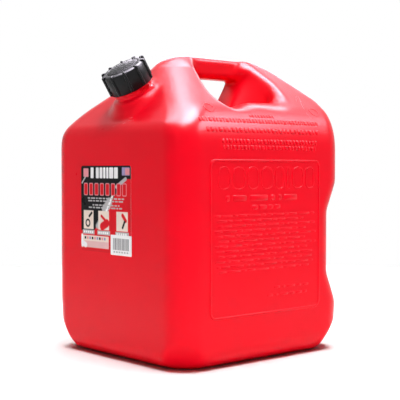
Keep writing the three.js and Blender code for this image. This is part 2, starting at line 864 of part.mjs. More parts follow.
addPiece(can, 'can_body', 'red', canBody());
addPiece(can, 'front_label', 'paper', sheetSolid(labelLeft, labelBottom, labelWidth, labelHeight, paperGap));
addPiece(can, 'barcode_sticker', 'sticker', sheetSolid(
  stickerLeft,
  labelBottom - stickerOverhang,
  stickerWidth,
  stickerHeight,
  paperGap * 2 + paperThickness,
));
addPiece(neck, 'screw_collar', 'black', screwCollar());
addPiece(neck, 'closure_disc', 'black', closureDisc());
addPiece(neck, 'disc_gasket', 'rubber', flatGasket(captiveRadius, discGasketLow));
addPiece(neck, 'spout_flange', 'tube', spoutFlange());
addPiece(neck, 'flange_gasket', 'rubber', flatGasket(flangeRadius, flangeGasketLow));
addPiece(neck, 'spout_tube', 'tube', spoutTube());
addPiece(neck, 'tube_seal', 'rubber', tubeSeal());
addPiece(neck, 'lock_ring', 'sleeve', lockRing());
addPiece(neck, 'spout_sleeve', 'sleeve', spoutSleeve());
addPiece(neck, 'sleeve_spring', 'steel', sleeveSpring());
addPiece(neck, 'stem_spider', 'clear', stemSpider());
addPiece(neck, 'valve_stem', 'steel', valveStem());
addPiece(neck, 'valve_plug', 'tube', valvePlug());
addPiece(neck, 'plug_seal', 'rubber', plugSeal());
addPiece(neck, 'vent_tube', 'clear', ventTube());

export default can;
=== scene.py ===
# A red plastic fuel can that stands on a pale floor, with its black cap on and its spout stored inside.
import json
import math

import bpy
import numpy as np
from mathutils import Matrix, Vector


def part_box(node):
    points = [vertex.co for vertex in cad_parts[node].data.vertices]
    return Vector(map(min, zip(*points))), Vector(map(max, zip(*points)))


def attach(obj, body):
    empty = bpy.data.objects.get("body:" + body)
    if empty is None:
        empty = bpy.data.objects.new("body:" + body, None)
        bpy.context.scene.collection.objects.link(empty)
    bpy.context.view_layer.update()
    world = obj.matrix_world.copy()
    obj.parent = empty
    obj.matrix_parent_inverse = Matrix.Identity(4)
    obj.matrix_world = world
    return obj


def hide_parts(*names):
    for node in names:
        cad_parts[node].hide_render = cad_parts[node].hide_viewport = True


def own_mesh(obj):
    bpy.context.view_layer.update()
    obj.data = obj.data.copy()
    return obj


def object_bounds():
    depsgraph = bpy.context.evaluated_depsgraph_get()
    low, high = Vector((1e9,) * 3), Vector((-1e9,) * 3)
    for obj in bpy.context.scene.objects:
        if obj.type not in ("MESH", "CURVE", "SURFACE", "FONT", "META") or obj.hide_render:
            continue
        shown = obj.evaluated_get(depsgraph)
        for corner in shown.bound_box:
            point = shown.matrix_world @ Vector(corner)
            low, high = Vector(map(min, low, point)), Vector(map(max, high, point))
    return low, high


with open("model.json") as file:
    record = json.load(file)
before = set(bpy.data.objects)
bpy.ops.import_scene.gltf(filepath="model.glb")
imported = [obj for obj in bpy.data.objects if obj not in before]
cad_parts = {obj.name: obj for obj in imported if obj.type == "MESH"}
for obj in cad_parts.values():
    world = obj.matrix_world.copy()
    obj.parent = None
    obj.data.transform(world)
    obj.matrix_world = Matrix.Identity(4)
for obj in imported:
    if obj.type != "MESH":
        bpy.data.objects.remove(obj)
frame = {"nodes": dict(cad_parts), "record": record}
cad_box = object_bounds()

# The camera stands where the picture was taken, at three fifths of the can's height in front of its
# right-hand corner. It looks slightly down through a long lens.
picture_width = 400
camera_focal_pixels = 973.19
camera_turn = math.radians(48.67)
camera_tip = math.radians(1.81)
camera_distance = 1.25065
camera_sidestep = 0.00274
camera_height = 0.22826

camera_lens = bpy.data.cameras.new("camera")
camera_lens.lens = camera_lens.sensor_width * camera_focal_pixels / picture_width
camera = bpy.data.objects.new("camera", camera_lens)
camera.location = (
    camera_distance * math.sin(camera_turn) + camera_sidestep * math.cos(camera_turn),
    camera_sidestep * math.sin(camera_turn) - camera_distance * math.cos(camera_turn),
    camera_height,
)
camera.rotation_euler = (math.pi / 2 - camera_tip, 0, camera_turn)
bpy.context.scene.collection.objects.link(camera)
bpy.context.scene.camera = camera
bpy.context.scene.view_settings.view_transform = "Standard"

# The studio is one pale floor under a white surround. The soft boxes over the can and behind it draw
# only the sheen on its roof and rims. Four more, which no reflection shows, light its top, the floor
# alone, and its side and front alone.
surround_light = 0.05
floor_radius = 1.1
floor_color = (0.9, 0.9, 0.9, 1)
floor_to_the_eye = (0.95, 0.95, 0.95, 1)
sheen_tint = (0.94, 0.86, 1)
sheen_boxes = (
    ("front_left_box", (-0.85, -0.5, 2.1), 1.35, 0.45, 72),
    ("front_middle_box", (0.05, -0.5, 2.1), 0.45, 0.45, 20),
    ("front_right_box", (0.5, -0.5, 2.1), 0.45, 0.45, 46),
    ("left_box", (-0.85, 0.175, 2.1), 0.45, 0.9, 35),
    ("middle_box", (-0.4, 0.175, 2.1), 0.45, 0.9, 46),
    ("right_box", (0.275, 0.175, 2.1), 0.9, 0.9, 205),
    ("far_box", (-0.4, 0.85, 2.1), 1.35, 0.45, 12),
    ("back_left_box", (-0.25, 1.45, 1.85), 1.4, 0.7, 10),
    ("back_right_box", (0.8, 1.45, 1.85), 0.7, 0.7, 36),
    ("back_end_box", (1.5, 1.45, 1.85), 0.7, 0.7, 75),
    ("back_low_box", (-1.3, 1.3, 1.2), 1.2, 1.0, 27),
)
fill_boxes = (
    ("over_box", (0.5, 0.0, 2.2), 1.0, 1.0, 39),
    ("floor_box", (-0.2, 0.1, 2.2), 1.8, 1.8, 75),
    ("side_box", (2.4, -0.2, 1.5), 0.7, 0.7, 27),
    ("front_box", (1.0, -2.3, 1.2), 0.9, 0.9, 19),
)


def node(tree, kind, inputs=None, **settings):
    """A new node. Each input takes a value or the output of another node."""
    made = tree.nodes.new(kind)
    for name, value in settings.items():
        setattr(made, name, value)
    for name, value in (inputs or {}).items():
        if isinstance(value, bpy.types.NodeSocket):
            tree.links.new(value, made.inputs[name])
        else:
            made.inputs[name].default_value = value
    return made


def ranged(tree, share, low, high):
    """A share from zero to one, spread between two values."""
    inputs = {"Value": share, "To Min": low, "To Max": high}
    return node(tree, "ShaderNodeMapRange", inputs).outputs["Result"]


def mixed(tree, share, first, second, **settings):
    """The colour that two others mix to."""
    inputs = {0: share, 6: first, 7: second}
    return node(tree, "ShaderNodeMix", inputs, data_type="RGBA", **settings).outputs[2]


def color_from(tree, output):
    """Gives a material's shader its base colour."""
    tree.links.new(output, tree.nodes["Principled BSDF"].inputs["Base Color"])


def white_to_the_eye(tree):
    """One for what the camera, a reflection or a see-through part sees, and zero for light."""
    path = node(tree, "ShaderNodeLightPath")
    seen = path.outputs["Is Camera Ray"]
    for other in ("Is Glossy Ray", "Is Transmission Ray"):
        inputs = {0: seen, 1: path.outputs[other]}
        seen = node(tree, "ShaderNodeMath", inputs, operation="MAXIMUM").outputs[0]
    return seen


world = bpy.data.worlds.new("studio")
world.use_nodes = True
bpy.context.scene.world = world
studio_tree = world.node_tree
surround = studio_tree.nodes["Background"]
surround.inputs["Color"].default_value = (1, 1, 1, 1)
surround_strength = ranged(studio_tree, white_to_the_eye(studio_tree), surround_light, 1)
studio_tree.links.new(surround_strength, surround.inputs["Strength"])

bpy.ops.mesh.primitive_circle_add(vertices=192, radius=floor_radius, fill_type="NGON")
floor = bpy.context.object
floor.name = "floor"
floor_paint = bpy.data.materials.new("pale_floor")
floor_paint.use_nodes = True
floor_tree = floor_paint.node_tree
floor_shader = floor_tree.nodes["Principled BSDF"]
floor_shader.inputs["Roughness"].default_value = 1
floor_shader.inputs["Specular IOR Level"].default_value = 0
color_from(floor_tree, mixed(floor_tree, white_to_the_eye(floor_tree), floor_color, floor_to_the_eye))
floor.data.materials.append(floor_paint)

off_the_floor = bpy.data.collections.new("off_the_floor")
off_the_floor.objects.link(floor)
off_the_floor.collection_objects[0].light_linking.link_state = "EXCLUDE"
floor_only = bpy.data.collections.new("floor_only")
floor_only.objects.link(floor)
for boxes, tint, hidden_from in (
    (sheen_boxes, sheen_tint, "visible_diffuse"),
    (fill_boxes, (1, 1, 1), "visible_glossy"),
):
    for box_name, place, box_width, box_height, watts in boxes:
        soft_box = bpy.data.lights.new(box_name, "AREA")
        soft_box.shape = "RECTANGLE"
        soft_box.size = box_width
        soft_box.size_y = box_height
        soft_box.energy = watts
        soft_box.color = tint
        lamp = bpy.data.objects.new(box_name, soft_box)
        lamp.location = place
        setattr(lamp, hidden_from, False)
        if box_name.startswith(("back", "side_box", "front_box")):
            towards_can = Vector((0, 0, cad_box[1][2] / 2)) - lamp.location
            lamp.rotation_euler = towards_can.to_track_quat("-Z", "Y").to_euler()
        if box_name in ("side_box", "front_box"):
            lamp.light_linking.receiver_collection = off_the_floor
        if box_name == "floor_box":
            lamp.light_linking.receiver_collection = floor_only
        bpy.context.scene.collection.objects.link(lamp)


# The tank is one blow-moulded piece of thick red polyethylene. Its walls run into each other in wide
# soft curves, so its outside and its inside are both worked out as smooth fields and then meshed.
# A flat facet cuts each corner of its foot. Sizes are in millimetres, and a field is below zero
# inside the plastic.
mm = 0.001
tiny = 1e-9
tank_width = 258.6
tank_depth = 273.9
ridge_height = 370.0
tank_wall = 2.4
corner_radius = 31.0
front_hip_radius = 38.0
rear_hip_radius = 8.0
least_radius = 0.8
foot_radius = 24.0
facet_height = 36.0
facet_lean = math.radians(33)
facet_radius = 3.0
band_height = 42.0
band_inset = 0.8
ridge_half_width = 15.7
ridge_radius = 10.0
side_shoulder = (286.3, 67.0)
front_shoulder = (275.6, 28.0)
front_roof_rise = 1.1
front_brow_radius = 43.0
rear_shoulder = (317.9, 17.0)
rear_roof_rise = 1.17
rear_brow_radius = 50.0
grip_depth = 16.5
grip_heights = (60.0, 98.0, 176.0, 212.0)
grip_radius = 24.0
arc_steps = 40
slope_step = 0.4


def rounded_outline(corners, radii):
    """Heights and reaches along an outline through corners, each rounded with its own radius."""
    corners = [np.array(corner, float) for corner in corners]
    points = []
    for before, corner, after, radius in zip(corners, corners[1:], corners[2:], radii):
        back = (before - corner) / np.linalg.norm(before - corner)
        ahead = (after - corner) / np.linalg.norm(after - corner)
        half = math.acos(np.clip(back @ ahead, -1, 1)) / 2
        middle = (back + ahead) / np.linalg.norm(back + ahead)
        centre = corner + middle * radius / math.sin(half)
        start = corner + back * radius / math.tan(half) - centre
        end = corner + ahead * radius / math.tan(half) - centre
        turn = math.atan2(start[0] * end[1] - start[1] * end[0], start @ end)
        for angle in np.linspace(0, turn, arc_steps):
            across = start[0] * math.cos(angle) - start[1] * math.sin(angle)
            up = start[0] * math.sin(angle) + start[1] * math.cos(angle)
            points.append(centre + (across, up))
    reaches, heights = np.array(points).T
    return np.maximum.accumulate(heights), reaches


def roof_outline(reach, middle, middle_radii, shoulder, rise, brow_radius):
    """From the middle of the base, out round the foot, up a wall and over the roof to the ridge."""
    shoulder_height, shoulder_radius = shoulder
    foot = reach - band_inset
    brow = reach - (ridge_height - shoulder_height) / rise
    corners = [
        (0, 0), (foot, 0), (foot, band_height), *middle,
        (reach, shoulder_height), (brow, ridge_height), (0, ridge_height),
    ]
    return rounded_outline(corners, [foot_radius, *middle_radii, shoulder_radius, brow_radius])


half_width = tank_width / 2
half_depth = tank_depth / 2
facet_reach = (half_width + half_depth - (2 - math.sqrt(2)) * corner_radius) / math.sqrt(2) - band_inset
band_radii = [foot_radius, foot_radius]
band_top = band_height + foot_radius
grip_radii = [grip_radius / 2] + [grip_radius] * 4
rear_wall = [
    (half_depth - depth, height)
    for depth, height in zip((0, grip_depth, grip_depth, 0), grip_heights)
]
side_rise = (ridge_height - side_shoulder[0]) / (half_width - ridge_half_width)
side_outline = roof_outline(
    half_width, [(half_width, band_top)], band_radii, side_shoulder, side_rise, ridge_radius
)
front_outline = roof_outline(
    half_depth, [(half_depth, band_top)], band_radii, front_shoulder, front_roof_rise, front_brow_radius
)
rear_outline = roof_outline(
    half_depth, rear_wall, grip_radii, rear_shoulder, rear_roof_rise, rear_brow_radius
)


def reach_and_slope(outline, z):
    heights, reaches = outline
    low = np.interp(z - slope_step, heights, reaches)
    high = np.interp(z + slope_step, heights, reaches)
    return np.interp(z, heights, reaches), (high - low) / (2 * slope_step)


def smooth_step(value, low, high):
    share = np.clip((value - low) / (high - low), 0, 1)
    return share * share * (3 - 2 * share)


def rounded_both(first, second, radius):
    """Where both fields hold, with the edge between them rounded."""
    corner = np.hypot(np.maximum(first + radius, 0), np.maximum(second + radius, 0))
    return np.minimum(np.maximum(first, second), -radius) + corner


def rounded_either(first, second, radius):
    """Where either field holds, with the corner between them filled."""
    return -rounded_both(-first, -second, radius)


def tank_field(x, y, z):
    side, side_slope = reach_and_slope(side_outline, z)
    front, front_slope = reach_and_slope(front_outline, z)
    rear, rear_slope = reach_and_slope(rear_outline, z)
    at_front = y < 0
    climb = smooth_step(z, side_shoulder[0] - corner_radius, ridge_height)
    hip = np.where(at_front, front_hip_radius, rear_hip_radius)
    radius = np.clip(corner_radius + (hip - corner_radius) * climb, least_radius, side - least_radius / 2)
    past_side = np.abs(x) - side + radius
    past_end = np.abs(y) - np.where(at_front, front, rear) + radius
    over_side = np.maximum(past_side, 0)
    over_end = np.maximum(past_end, 0)
    past_corner = np.hypot(over_side, over_end)
    level = past_corner + np.minimum(np.maximum(past_side, past_end), 0) - radius
    in_corner = past_corner > 0
    spread = np.maximum(past_corner, tiny)
    side_share = np.where(in_corner, over_side / spread, past_side > past_end)
    end_share = np.where(in_corner, over_end / spread, past_side <= past_end)
    slope = side_share * side_slope + end_share * np.where(at_front, front_slope, rear_slope)
    walls = np.maximum(level / np.sqrt(1 + slope * slope), np.maximum(-z, z - ridge_height))
    outward = (np.abs(x) + np.abs(y)) / math.sqrt(2) - facet_reach
    facet = outward * math.cos(facet_lean) - (z - facet_height) * math.sin(facet_lean)
    return rounded_both(walls, facet, facet_radius)


# The hand hole goes through the roof from side to side under the handle bar, which is left standing
# in the middle plane. Its front wall leans forward, and its rear wall flares back to both sides, most
# on the left.
bar_half_width = 14.5
bar_underside = 344.0
bar_radius = 8.0
bar_edge_radius = 6.0
bar_root_radius = 16.0
bar_root_span = (342.0, 356.0)
bar_crown_radius = 6.0
hole_floor = 300.0
hole_step = (-30.0, 18.0)
hole_step_rise = 10.0
hole_floor_slope = 0.09
hole_front = -20.5
hole_front_lean = 0.915
hole_front_bow = 0.00537
hole_rear = 63.0
hole_rear_lean = 0.65
hole_side_lean = 0.1
hole_rear_bend = 344.0
hole_rear_bend_radius = 8.0
hole_flare = 9.5
far_flare = 42.0
far_flare_start = 12.0
far_flare_bend = 16.0
hole_lip_span = (45.0, 78.0)
hole_flare_reach = 55.0
hole_flare_return = 0.285
hole_side_reach = 60.0
hole_toe_radius = 26.0
hole_heel_radius = 8.0
front_rim_radius = 6.0
rear_rim_radius = 9.0
low_rim_radius = 20.0
low_rim = (350.0, 308.0)


def hole_field(x, y, z):
    drop = np.maximum(ridge_height - z, 0)
    front = hole_front - hole_front_lean * drop + hole_front_bow * drop * drop
    front_slope = hole_front_lean - 2 * hole_front_bow * drop
    before = (front - y) / np.sqrt(1 + front_slope * front_slope)
    near_side = smooth_step(x, bar_half_width, hole_flare_reach)
    past_post = np.maximum(-x - far_flare_start, 0)
    far_side = past_post**2 / (past_post**2 + far_flare_bend**2)
    bend = hole_rear_bend - z
    lean = (bend + np.hypot(bend, hole_rear_bend_radius)) / 2
    side_share = smooth_step(np.abs(x), bar_half_width, hole_side_reach)
    rear_lean = hole_rear_lean + (hole_side_lean - hole_rear_lean) * side_share
    back = hole_flare_return * np.maximum(x - hole_flare_reach, 0)
    rear = hole_rear + hole_flare * near_side + far_flare * far_side - back - rear_lean * lean
    behind = (y - rear) / np.sqrt(1 + rear_lean * rear_lean)
    rise = hole_step_rise * smooth_step(y, *hole_step) + hole_floor_slope * np.maximum(y - hole_step[1], 0)
    floor_height = hole_floor + rise * smooth_step(np.abs(x), *hole_lip_span)
    below = floor_height - z
    return rounded_both(rounded_both(before, below, hole_toe_radius), behind, hole_heel_radius)


def bar_field(x, z):
    across = np.abs(x) - bar_half_width
    return rounded_both(across, bar_underside - z, bar_radius)


# The neck stands on a round boss on the front of the roof and leans forward. The cap screws on it.
neck_lean = math.radians(33.2)
neck_lip = (0.0, -114.1, 341.2)
neck_radius = 23.5
neck_bore = 20.8
boss_radius = 28.0
boss_top = -23.0
boss_foot_radius = 37.0
boss_foot = -48.0
boss_flare = (0.8, 0.6)
boss_root_radius = 7.0
boss_edge_radius = 2.0


def along_neck(x, y, z):
    """Height above the lip along the neck's axis, and distance from that axis."""
    ahead = y - neck_lip[1]
    up = z - neck_lip[2]
    height = up * math.cos(neck_lean) - ahead * math.sin(neck_lean)
    aside = up * math.sin(neck_lean) + ahead * math.cos(neck_lean)
    return height, np.hypot(x, aside)


def roofed_field(x, y, z):
    """The tank with its hand hole and handle bar, before the neck."""
    tank = tank_field(x, y, z)
    rear_rim = low_rim_radius + (rear_rim_radius - low_rim_radius) * smooth_step(z, low_rim[1], low_rim[0])
    rim = front_rim_radius + (rear_rim - front_rim_radius) * smooth_step(y, hole_front, hole_rear)
    carved = rounded_both(tank, -hole_field(x, y, z), rim)
    bar = rounded_both(tank, bar_field(x, z), bar_edge_radius)
    at_side = smooth_step(z, *bar_root_span) * (1 - smooth_step(z, bar_root_span[1], ridge_height))
    root = bar_crown_radius + (bar_root_radius - bar_crown_radius) * at_side
    return np.maximum(rounded_either(carved, bar, root), tank)


def outside_field(x, y, z):
    body = roofed_field(x, y, z)
    height, radius = along_neck(x, y, z)
    cone = (radius - boss_radius) * boss_flare[0] + (height - boss_top) * boss_flare[1]
    boss = rounded_both(cone, height - boss_top, boss_edge_radius)
    boss = np.maximum(boss, np.maximum(radius - boss_foot_radius, boss_foot - height))
    neck = np.maximum(radius - neck_radius, np.maximum(height, boss_foot - height))
    body = rounded_either(body, boss, boss_root_radius)
    return rounded_either(body, neck, boss_edge_radius)


def inside_field(x, y, z):
    room = roofed_field(x, y, z) + tank_wall
    height, radius = along_neck(x, y, z)
    bore = np.maximum(radius - neck_bore, np.maximum(boss_foot - height, height - tank_wall))
    return np.minimum(room, bore)


def grid_lines(stretches):
    lines = [np.arange(start, end, step) for start, end, step in stretches]
    return np.concatenate(lines + [[stretches[-1][1]]])


def net_over(field, lines):
    """Points and four-sided faces of a net drawn tight over the surface where a field is zero."""
    values = field(*np.meshgrid(*lines, indexing="ij"))
    cells = tuple(len(line) - 1 for line in lines)
    totals = np.zeros(cells + (3,))
    counts = np.zeros(cells)
    crossings = []
    for axis in range(3):
        sides = [other for other in range(3) if other != axis]
        low = np.take(values, range(cells[axis]), axis)
        high = np.take(values, range(1, cells[axis] + 1), axis)
        where = np.argwhere((low < 0) != (high < 0))
        low_values = low[tuple(where.T)]
        share = low_values / (low_values - high[tuple(where.T)])
        place = np.stack([lines[k][where[:, k]] for k in range(3)], 1)
        place[:, axis] += share * (lines[axis][where[:, axis] + 1] - lines[axis][where[:, axis]])
        near = []
        for steps in ((0, 0), (0, 1), (1, 0), (1, 1)):
            cell = where.copy()
            cell[:, sides] -= steps
            inner = np.all((cell >= 0) & (cell < cells), 1)
            np.add.at(totals, tuple(cell[inner].T), place[inner])
            np.add.at(counts, tuple(cell[inner].T), 1)
            near.append(cell)
        crossings.append(((near[0], near[2], near[3], near[1]), low_values < 0))
    used = counts > 0
    numbers = np.full(cells, -1)
    numbers[used] = np.arange(used.sum())
    points = totals[used] / counts[used][:, None]
    faces = []
    for axis, (ring, leaving) in enumerate(crossings):
        quads = np.stack([numbers[tuple(cell.T)] for cell in ring], 1)
        turned_round = leaving if axis == 1 else ~leaving
        quads[turned_round] = quads[turned_round][:, ::-1]
        faces.append(quads)
    return points, np.concatenate(faces)


settle_rounds = 4
settle_reach = 0.02
settle_least_slope = 0.05
settle_longest_move = 0.8


def settle(field, points):
    """Moves points onto the surface where a field is zero."""
    for _ in range(settle_rounds):
        slopes = []
        for axis in range(3):
            step = np.zeros(3)
            step[axis] = settle_reach
            slopes.append((field(*(points + step).T) - field(*(points - step).T)) / (2 * settle_reach))
        slopes = np.stack(slopes, 1)
        steep = np.maximum((slopes * slopes).sum(1), settle_least_slope)
        move = slopes * (field(*points.T) / steep)[:, None]
        points = points - np.clip(move, -settle_longest_move, settle_longest_move)
    return points


def mesh_piece(name, points, faces=(), edges=()):
    mesh = bpy.data.meshes.new(name)
    mesh.from_pydata(np.asarray(points).tolist(), edges, [list(face) for face in faces])
    piece = bpy.data.objects.new(name, mesh)
    bpy.context.scene.collection.objects.link(piece)
    return piece


def only(piece):
    """Selects one piece alone and makes it the active one."""
    bpy.ops.object.select_all(action="DESELECT")
    piece.select_set(True)
    bpy.context.view_layer.objects.active = piece


def smooth(piece, degrees):
    """Shades a piece smooth but for its edges sharper than an angle."""
    only(piece)
    bpy.ops.object.shade_smooth_by_angle(angle=math.radians(degrees))


def face_outward(piece):
    """Turns all faces of a closed piece outward."""
    only(piece)
    bpy.ops.object.mode_set(mode="EDIT")
    bpy.ops.mesh.select_all(action="SELECT")
    bpy.ops.mesh.normals_make_consistent(inside=False)
    bpy.ops.object.mode_set(mode="OBJECT")


def reshape(piece, kind, **settings):
    """Applies a modifier to a piece."""
    modifier = piece.modifiers.new("reshape", kind)
    for name, value in settings.items():
        setattr(modifier, name, value)
    only(piece)
    bpy.ops.object.modifier_apply(modifier="reshape")


def combine(piece, tool, operation):
    """Joins a tool to a piece, or cuts it out of the piece."""
    reshape(piece, "BOOLEAN", operation=operation, solver="MANIFOLD", object=tool)
    bpy.data.objects.remove(tool)


def paint(piece, material):
    piece.data.materials.clear()
    piece.data.materials.append(material)


def skin(name, field, stretches):
    points, faces = net_over(field, [grid_lines(stretch) for stretch in stretches])
    return mesh_piece(name, settle(field, points) * mm, faces)


margin = 5.0
fine_step = 2.4
wall_step = 5.2
plain_step = 3.1
coarse_step = 5.6
roof_foot = 262.0
bar_zone = 21.0
outer_x = half_width + margin
outer_y = half_depth + margin
tank_skin = skin("tank", outside_field, (
    ((-outer_x, -bar_zone, plain_step), (-bar_zone, bar_zone, fine_step), (bar_zone, outer_x, plain_step)),
    ((-outer_y, outer_y, plain_step),),
    (
        (-margin, band_height, plain_step), (band_height, roof_foot, wall_step),
        (roof_foot, ridge_height + margin, fine_step),
    ),
))
tank_room = skin("tank_room", inside_field, (
    ((-outer_x, outer_x, coarse_step),),
    ((-outer_y, outer_y, coarse_step),),
    ((-margin, ridge_height + margin, coarse_step),),
))
combine(tank_skin, tank_room, "DIFFERENCE")
smooth(tank_skin, 38)


# The red plastic is dyed through, semi-glossy and finely pebbled by the mould, with the slow waves
# that such walls cool into.
red_color = (0.84, 0.0012, 0.014, 1)
deep_red_color = (0.78, 0.001, 0.011, 1)
tint_noise = (14, 3)
dull_noise = (60, 4)
wave_noise = (22, 1)
grain_roughness = 0.6


def noise(tree, scale, detail, roughness=0.5):
    place = node(tree, "ShaderNodeTexCoord").outputs["Object"]
    inputs = {"Vector": place, "Scale": scale, "Detail": detail, "Roughness": roughness}
    return node(tree, "ShaderNodeTexNoise", inputs).outputs["Fac"]


def bumped(tree, height, distance, **under):
    """A normal that stands for a relief, over another one if it is given."""
    inputs = {"Strength": 1, "Distance": distance, "Height": height, **under}
    return node(tree, "ShaderNodeBump", inputs).outputs["Normal"]


def grained(name, gloss, grain, wave=0.0, specular=0.5, roughness_range=0.08):
    """A surface with a gloss that varies, a grain and a slow wave."""
    material = bpy.data.materials.new(name)
    material.use_nodes = True
    tree = material.node_tree
    shader = tree.nodes["Principled BSDF"]
    shader.inputs["Specular IOR Level"].default_value = specular
    dull = ranged(tree, noise(tree, *dull_noise), gloss - roughness_range, gloss + roughness_range)
    tree.links.new(dull, shader.inputs["Roughness"])
    grain_scale, grain_depth = grain
    pebble = bumped(tree, noise(tree, grain_scale, 2, grain_roughness), grain_depth)
    waves = bumped(tree, noise(tree, *wave_noise), wave, Normal=pebble)
    tree.links.new(waves, shader.inputs["Normal"])
    return material


def plastic(name, light, dark, gloss, grain, **surface):
    """A moulded plastic: a grained surface in two near colours."""
    material = grained(name, gloss, grain, **surface)
    tree = material.node_tree
    color_from(tree, mixed(tree, noise(tree, *tint_noise), dark, light))
    return material


red_plastic = plastic(
    "red_plastic", red_color, deep_red_color, 0.28, (700, 0.00012),
    wave=0.0003, specular=0.11, roughness_range=0.012,
)
paint(tank_skin, red_plastic)
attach(tank_skin, "can")
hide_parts("can_body")

# Raised details that the mould leaves in the same red plastic: the thread and the two rows of teeth
# on the neck, and on each wide side a border with rows of plain raised blocks inside and above it.
neck_frame = Matrix.Translation(Vector(neck_lip) * mm) @ Matrix.Rotation(neck_lean, 4, "X")
thread_pitch = 6.0
thread_depth = 1.6
thread_turns = 1.25
thread_root = 2.4
thread_crest = 1.2
thread_top = -2.4
thread_steps = 48
thread_run_out = 8
thread_start = 0.2
tooth_size = (2.6, 0.9, 4.0)
tooth_count = 7
tooth_pitch = math.radians(5)
tooth_height = -19.2
tooth_edge = 0.25


def strip(low, high, around):
    """Faces between two closed loops of points, each given by its first point's number."""
    return [(low + k, low + (k + 1) % around, high + (k + 1) % around, high + k) for k in range(around)]


def thread(name, root, crest, top, buried):
    """A right-hand thread about the neck's axis, run out at both ends."""
    count = round(thread_turns * thread_steps)
    deep = root + math.copysign(buried, root - crest)
    points = []
    faces = []
    for step in range(count + 1):
        angle = step / thread_steps * 2 * math.pi
        share = min(1, (min(step, count - step) + thread_start) / thread_run_out)
        height = top + (step / thread_steps - thread_turns) * thread_pitch
        peak = root + (crest - root) * share
        section = (
            (deep, -thread_root / 2), (root, -thread_root / 2), (peak, -thread_crest / 2),
            (peak, thread_crest / 2), (root, thread_root / 2), (deep, thread_root / 2),
        )
        for radius, rise in section:
            points.append((radius * math.cos(angle), radius * math.sin(angle), height + rise))
        if step:
            faces += strip(len(points) - 12, len(points) - 6, 6)
    faces += [range(5, -1, -1), range(len(points) - 6, len(points))]
    ridge = mesh_piece(name, np.array(points) * mm, faces)
    face_outward(ridge)
    smooth(ridge, 45)
    ridge.data.transform(neck_frame)
    return ridge


def bevel(piece, width, segments=2, limit=30):
    limits = {"limit_method": "ANGLE", "angle_limit": math.radians(limit)}
    reshape(piece, "BEVEL", width=width * mm, segments=segments, **limits)


def join(name, pieces):
    only(pieces[0])
    for piece in pieces:
        piece.select_set(True)
    bpy.ops.object.join()
    pieces[0].name = name
    return pieces[0]


def soft_block(size, edge, segments=2):
    """A box about the origin with rounded edges."""
    bpy.ops.object.select_all(action="DESELECT")
    bpy.ops.mesh.primitive_cube_add(size=mm)
    box = bpy.context.object
    box.data.transform(Matrix.Diagonal((*size, 1)))
    bevel(box, edge, segments)
    return box


def set_out(piece, radius, height, turn):
    """Moves a piece out from the neck's axis, up along it and round it."""
    piece.data.transform(Matrix.Translation((radius * mm, 0, height * mm)))
    piece.data.transform(Matrix.Rotation(turn, 4, "Z"))


def red_detail(piece):
    paint(piece, red_plastic)
    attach(piece, "can")


red_detail(thread("neck_thread", neck_radius, neck_radius + thread_depth, thread_top, tank_wall / 2))

teeth = []
for side in (0, math.pi):
    for place in range(tooth_count):
        tooth = soft_block(tooth_size, tooth_edge)
        turn = side + (place - (tooth_count - 1) / 2) * tooth_pitch
        set_out(tooth, neck_radius, tooth_height, turn)
        tooth.data.transform(neck_frame)
        teeth.append(tooth)
red_detail(join("neck_teeth", teeth))


def climb_table(outline):
    """Climb, reach and height along an outline. On the straight wall the climb is the height."""
    heights, reaches = outline
    steps = np.hypot(np.diff(heights), np.diff(reaches))
    lengths = np.concatenate([[0], np.cumsum(steps)])
    wall_middle = (band_height + side_shoulder[0]) / 2
    return lengths - np.interp(wall_middle, heights, lengths) + wall_middle, reaches, heights


side_climb = climb_table(side_outline)
front_climb = climb_table(front_outline)
climb_step = 0.5


def onto_wall(points, table):
    """Lays flat work, given along, up and out from a wall, on that wall and the roof above it."""
    climbs, *lines = table
    along, climb, proud = points.T
    out, up = (np.interp(climb, climbs, line) for line in lines)
    ahead = climb + climb_step
    behind = climb - climb_step
    lean_out, lean_up = (
        (np.interp(ahead, climbs, line) - np.interp(behind, climbs, line)) / (2 * climb_step)
        for line in lines
    )
    size = np.hypot(lean_out, lean_up)
    return along, out + proud * lean_up / size, up - proud * lean_out / size


def onto_side(points, side):
    along, out, up = onto_wall(points, side_climb)
    return np.stack([side * out, along, up], 1)


def onto_front(points):
    along, out, up = onto_wall(points, front_climb)
    return np.stack([along, -out, up], 1)


border_box = (-95.4, 57.0, 88.0, 239.6)
border_width = 2.6
border_proud = 0.9
border_corner = 9.0
sunk = 0.5
block_proud = 0.5
faint_proud = 0.3
stroke = 1.4
edge_inset = 0.45
edge_rise = 0.55
least_corner = 0.05
outline_round = 0.42
block_round = 0.3
emblem_places = ((-80, 304), (99, 306))
emblem_radius = 7.5
emblem_flat = 0.01
small_widths = (9, 16, 6, 12, 20, 7)

